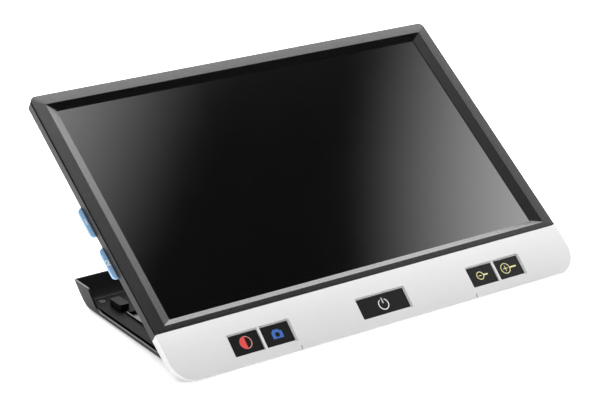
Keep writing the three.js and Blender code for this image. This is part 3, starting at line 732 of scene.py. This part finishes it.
def power_mark():
    broken = ring(0, -0.3, 3.5, 0.55, 118, 422)
    mark("power_mark", joined(broken, bar(-0.28, 0.3, 0.28, 3.7)), GREY_INK, "power_button")


def lens_mark(name, body, x, radius, sign_half, plus, handle):
    """A magnifying glass with a plus or minus in its lens."""
    rim = x + radius
    parts = [
        ring(x, 0, radius, MARK_LINE),
        bar(rim - 0.1, -MARK_LINE, rim + handle, MARK_LINE),
    ]
    parts.append(bar(x - sign_half, -0.2, x + sign_half, 0.2))
    if plus:
        parts.append(bar(x - 0.2, 0.2, x + 0.2, sign_half))
        parts.append(bar(x - 0.2, -sign_half, x + 0.2, -0.2))
    mark(name, joined(*parts), YELLOW_INK, body)


def keys():
    spans = key_spans()
    for name, span in spans.items():
        key_cap(name, span)
    centre = {name: (a + b) / 2 for name, (a, b) in spans.items()}
    contrast_mark(centre["contrast_button"])
    camera_mark(centre["capture_button"])
    power_mark()
    x = centre["zoom_out_button"] - 1.5
    lens_mark("zoom_out_mark", "zoom_out_button", x, 2.6, 1.2, False, 3)
    x = centre["zoom_in_button"] - 2.4
    lens_mark("zoom_in_mark", "zoom_in_button", x, 3.4, 1.7, True, 4.6)


# ---- Side keys -----------------------------------------------------------------------------------
def side_key(name, span):
    near, far = span
    front, rear = SIDE_KEY_CORNERS
    low = SIDE_KEY_TOP - SIDE_KEY_THICK

    def outline(inset):
        x0, x1 = SIDE_KEY_OUTER + inset, SIDE_KEY_WALL + 3
        points = [(x1, near + inset), (x1, far - inset)]
        points += arc(x0 + rear - inset, far - rear, rear - inset, 90, 180, 8)
        points += arc(x0 + front - inset, near + front, front - inset, 180, 270, 8)
        return list(reversed(points))

    turns = fillet(SIDE_KEY_EDGE)
    loops = [at(outline(inset), low + drop) for inset, drop in reversed(turns)]
    loops += [at(outline(inset), SIDE_KEY_TOP - drop) for inset, drop in turns]
    piece(name + "_tab", loft(loops), BLUE, name, replaces=[name])


def numeral(text, body, x, y):
    """A raised generic numeral on a side key."""
    curve = bpy.data.curves.new("numeral", "FONT")
    curve.body = text
    curve.size = NUMERAL_SIZE
    curve.extrude = NUMERAL_RAISED
    curve.offset = NUMERAL_BOLD
    curve.align_x = "CENTER"
    curve.align_y = "CENTER"
    curve.resolution_u = 4
    shape = bpy.data.objects.new("numeral", curve)
    bpy.context.scene.collection.objects.link(shape)
    bpy.context.view_layer.update()
    bm = bmesh.new()
    bm.from_mesh(shape.evaluated_get(bpy.context.evaluated_depsgraph_get()).to_mesh())
    bpy.data.objects.remove(shape)
    bmesh.ops.remove_doubles(bm, verts=bm.verts, dist=TINY)
    place = SCREEN @ Matrix.Translation((x, y, SIDE_KEY_TOP))
    made = piece("numeral_" + text, bm, WHITE_INK, body, place)
    return made


def side_keys():
    for name, span in SIDE_KEYS.items():
        side_key(name, span)
        x = (SIDE_KEY_OUTER - HALF_WIDTH) / 2 + 0.1
        numeral(name[-1], name, x, sum(span) / 2)


# ---- Casings, stand and hinge arms, with their edges rounded over --------------------------------
def round_over(bm, edges, width, segments):
    bmesh.ops.bevel(
        bm,
        geom=edges,
        offset=width,
        offset_type="OFFSET",
        segments=segments,
        profile=0.5,
        affect="EDGES",
        clamp_overlap=False,
    )


def tray_corner(edge):
    """True for the tray's lower side edges and its rear corners."""
    first, second = (v.co for v in edge.verts)
    if first.x * second.x < TRAY_SIDE * (TRAY_SIDE - NEAR):
        return False
    return all(p.z < TRAY_FOOT + NEAR or p.y > TRAY_SLOPE_FROM for p in (first, second))


def stays_sharp(edge):
    """True for the casing's edges inside the side keys' slots and at the ends of the step in its lip."""
    ends = [v.co.x for v in edge.verts]
    return any(KEY_SLOT[0] < x < KEY_SLOT[1] or abs(abs(x) - LIP_STEP) < NEAR for x in ends)


def seam_groove():
    """The groove in the rim of the back shell, which makes the seam under the bezel deep."""
    outline = {}
    for inset in (GROOVE_FROM, GROOVE_TO):
        half, radius = HALF_WIDTH - inset, REAR_RADIUS - inset
        near, far = SPLIT_LINE + inset, REAR_EDGE - inset
        outline[inset] = rounded(-half, near, half, far, 0.3, radius, 6)
    outer, inner = outline[GROOVE_FROM], outline[GROOVE_TO]
    loops = [at(outer, GROOVE_FLOOR), at(outer, 0), at(inner, 0), at(inner, GROOVE_FLOOR)]
    bm = loft(loops, ring=True)
    bmesh.ops.transform(bm, matrix=TABLE.inverted() @ SCREEN, verts=bm.verts)
    return bm


def softened(
    node, name, material, width, crease=30, shortest=1.0, corner=None, sharp=None, cutters=()
):
    """A copy of a node of the frame, cleaned up, with its long sharp edges rounded over."""
    bm = bmesh.new()
    bm.from_mesh(NODES[node].data)
    bmesh.ops.scale(bm, vec=(1 / MM,) * 3, verts=bm.verts)
    bmesh.ops.remove_doubles(bm, verts=bm.verts, dist=WELD)
    bmesh.ops.dissolve_limit(
        bm,
        angle_limit=math.radians(FLAT),
        verts=bm.verts,
        edges=bm.edges,
        use_dissolve_boundaries=False,
    )
    if corner is not None:
        round_over(bm, [e for e in bm.edges if corner(e)], CORNER_RADIUS, 4)
    limit = math.radians(crease)
    chosen = [
        e
        for e in bm.edges
        if len(e.link_faces) == 2
        and e.calc_face_angle(0.0) > limit
        and e.calc_length() > shortest
        and not (sharp and sharp(e))
    ]
    round_over(bm, chosen, width, 2)
    if cutters:
        bm = carve(bm, cutters)
    body = NODES[node]["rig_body"]
    return piece(name, bm, material, body, TABLE, replaces=[node], crease=crease)


def window_rail(side, hand):
    """The raised rail along the outer edge of the deck's cut-out."""
    near, far = DECK_WINDOW[0][1], DECK_WINDOW[0][1] + RAIL_WIDTH
    x0, x1 = sorted((side * near, side * far))
    y0, y1 = DECK_WINDOW[1]
    foot, top, soft = DECK_TOP - 0.1, DECK_TOP + RAIL_HEIGHT, RAIL_EDGE
    edge = rounded(x0, y0, x1, y1, 0.3)
    crest = rounded(x0 + soft, y0 + soft, x1 - soft, y1 - soft, 0.1)
    bm = loft([at(edge, foot), at(edge, top - soft), at(crest, top)])
    made = piece("deck_rail_" + hand, bm, TRAY, STAND, TABLE)
    return made


def dressed():
    """The casings, the stand and the hinge arms, which show from outside."""
    groove = [seam_groove()]
    softened(
        "back_shell", "rear_casing", CHASSIS, 0.4, shortest=2.5, sharp=stays_sharp, cutters=groove
    )
    softened("stand_tray", "stand_body", TRAY, 0.35, shortest=2.5, corner=tray_corner)
    # The deck's floor wears the painted-shade copy of the stand's black plastic.
    softened("stand_deck", "stand_floor", DECK_PAINTED_SHADE, 0.15, shortest=2.5)
    softened("battery_door", "battery_cover", CHASSIS, 0.15)
    for side, hand in ((-1, "left"), (1, "right")):
        window_rail(side, hand)
        softened("stop_block_" + hand, "stop_pad_" + hand, RUBBER, 0.8, crease=40)
        softened("hinge_bracket_" + hand, "hinge_arm_" + hand, STEEL, 0.25, shortest=2.0)


def materials_for_the_rest():
    """A material on every other node, by its slot."""
    by_slot = {
        "bezel_plastic": BEZEL,
        "panel_plastic": SILVER,
        "shell_plastic": CHASSIS,
        "stand_plastic": TRAY,
        "key_plastic": KEY,
        "blue_plastic": BLUE,
        "screen_glass": GLASS,
        "display_cell": GLASS,
        "backlight_white": WHITE,
        "circuit_board": BOARD,
        "clear_window": WINDOW,
        "battery_wrap": WRAP,
        "rubber": RUBBER,
        "steel": STEEL,
    }
    slots = {part["node"]: part["material_slot"] for part in frame["record"]["subparts"]}
    for name, node in NODES.items():
        node.data.materials.clear()
        node.data.materials.append(by_slot[slots[name]])
    for hand in ("left", "right"):
        NODES["led_window_" + hand].data.materials[0] = DIFFUSER
        NODES["deck_screw_" + hand].data.materials[0] = DARK_STEEL


# ---- Studio --------------------------------------------------------------------------------------
CAMERA_AT = Vector((-0.6145, -0.7943, 0.4558))
CAMERA_TURN = math.radians(35.769)
CAMERA_DROP = math.radians(21.507)
CAMERA_ROLL = math.radians(0.974)
CAMERA_LENS = 115.19
CAMERA_SENSOR = 36
CAMERA_REACH = 50
FLOOR_REACH = 6
FLOOR_DROP = 0.0002


def floor():
    mesh = bpy.data.meshes.new("floor")
    bm = bmesh.new()
    bmesh.ops.create_grid(bm, x_segments=1, y_segments=1, size=FLOOR_REACH)
    bm.to_mesh(mesh)
    bm.free()
    made = bpy.data.objects.new("floor", mesh)
    made.location.z = -FLOOR_DROP
    bpy.context.scene.collection.objects.link(made)
    tree = Nodes("floor_paper")
    tone = tree.mix(tree.span(tree.noise(0.004, 2), 0, 1), (0.86, 0.86, 0.86), (0.9, 0.9, 0.9))
    tree.link(tone, tree.surface.inputs["Base Color"])
    tree.surface.inputs["Roughness"].default_value = 0.9
    tree.surface.inputs["Emission Color"].default_value = (1, 1, 1, 1)
    tree.surface.inputs["Emission Strength"].default_value = FLOOR_GLOW
    mesh.materials.append(tree.material)


# Each soft box: its direction, the half angles of its bright part and of its faded edge, its strength.
SOFT_BOXES = (
    ((0.102, 0.179, 0.979), 15.8, 28.0, 1.95),
    ((0.849, -0.156, 0.505), 15.0, 25.1, 2.3),
    ((0.40, 0.65, 0.65), 33, 41, 6.65),
    ((-0.75, -0.35, 0.56), 15, 45, 1.73),
)
AMBIENT = 0.006
FLOOR_GLOW = 0.45


def soft_box(tree, direction, towards, inner, outer, strength):
    """Light from one part of the sky, fading at its edge."""
    facing = tree.nodes.new("ShaderNodeVectorMath")
    facing.operation = "DOT_PRODUCT"
    tree.links.new(direction, facing.inputs[0])
    facing.inputs[1].default_value = Vector(towards).normalized()
    fade = tree.nodes.new("ShaderNodeMapRange")
    fade.interpolation_type = "SMOOTHSTEP"
    tree.links.new(facing.outputs["Value"], fade.inputs["Value"])
    fade.inputs["From Min"].default_value = math.cos(math.radians(outer))
    fade.inputs["From Max"].default_value = math.cos(math.radians(inner))
    fade.inputs["To Max"].default_value = strength
    return fade.outputs["Result"]


def sky():
    """A dim studio with soft boxes, white where the camera looks straight at it."""
    world = bpy.data.worlds.new("studio")
    bpy.context.scene.world = world
    world.use_nodes = True
    tree = world.node_tree
    direction = tree.nodes.new("ShaderNodeTexCoord").outputs["Generated"]
    total = AMBIENT
    for towards, inner, outer, strength in SOFT_BOXES:
        box = soft_box(tree, direction, towards, inner, outer, strength)
        add = tree.nodes.new("ShaderNodeMath")
        add.operation = "ADD"
        tree.links.new(box, add.inputs[0])
        if isinstance(total, float):
            add.inputs[1].default_value = total
        else:
            tree.links.new(total, add.inputs[1])
        total = add.outputs[0]
    straight = tree.nodes.new("ShaderNodeLightPath").outputs["Is Camera Ray"]
    choose = tree.nodes.new("ShaderNodeMix")
    tree.links.new(straight, choose.inputs["Factor"])
    tree.links.new(total, choose.inputs[2])
    choose.inputs[3].default_value = 1.0
    tree.links.new(choose.outputs[0], tree.nodes["Background"].inputs["Strength"])
    tree.nodes["Background"].inputs["Color"].default_value = (1, 1, 1, 1)


def studio():
    floor()
    sky()
    bpy.context.scene.view_settings.view_transform = "Standard"


def camera():
    data = bpy.data.cameras.new("camera")
    data.sensor_width = CAMERA_SENSOR
    data.lens = CAMERA_LENS
    data.clip_end = CAMERA_REACH
    made = bpy.data.objects.new("camera", data)
    turn = Matrix.Rotation(-CAMERA_TURN, 4, "Z")
    drop = Matrix.Rotation(math.pi / 2 - CAMERA_DROP, 4, "X")
    roll = Matrix.Rotation(CAMERA_ROLL, 4, "Z")
    made.matrix_world = Matrix.Translation(CAMERA_AT) @ turn @ drop @ roll
    bpy.context.scene.collection.objects.link(made)
    bpy.context.scene.camera = made


bezel()
glass()
control_panel()
keys()
side_keys()
dressed()
materials_for_the_rest()
studio()
camera()
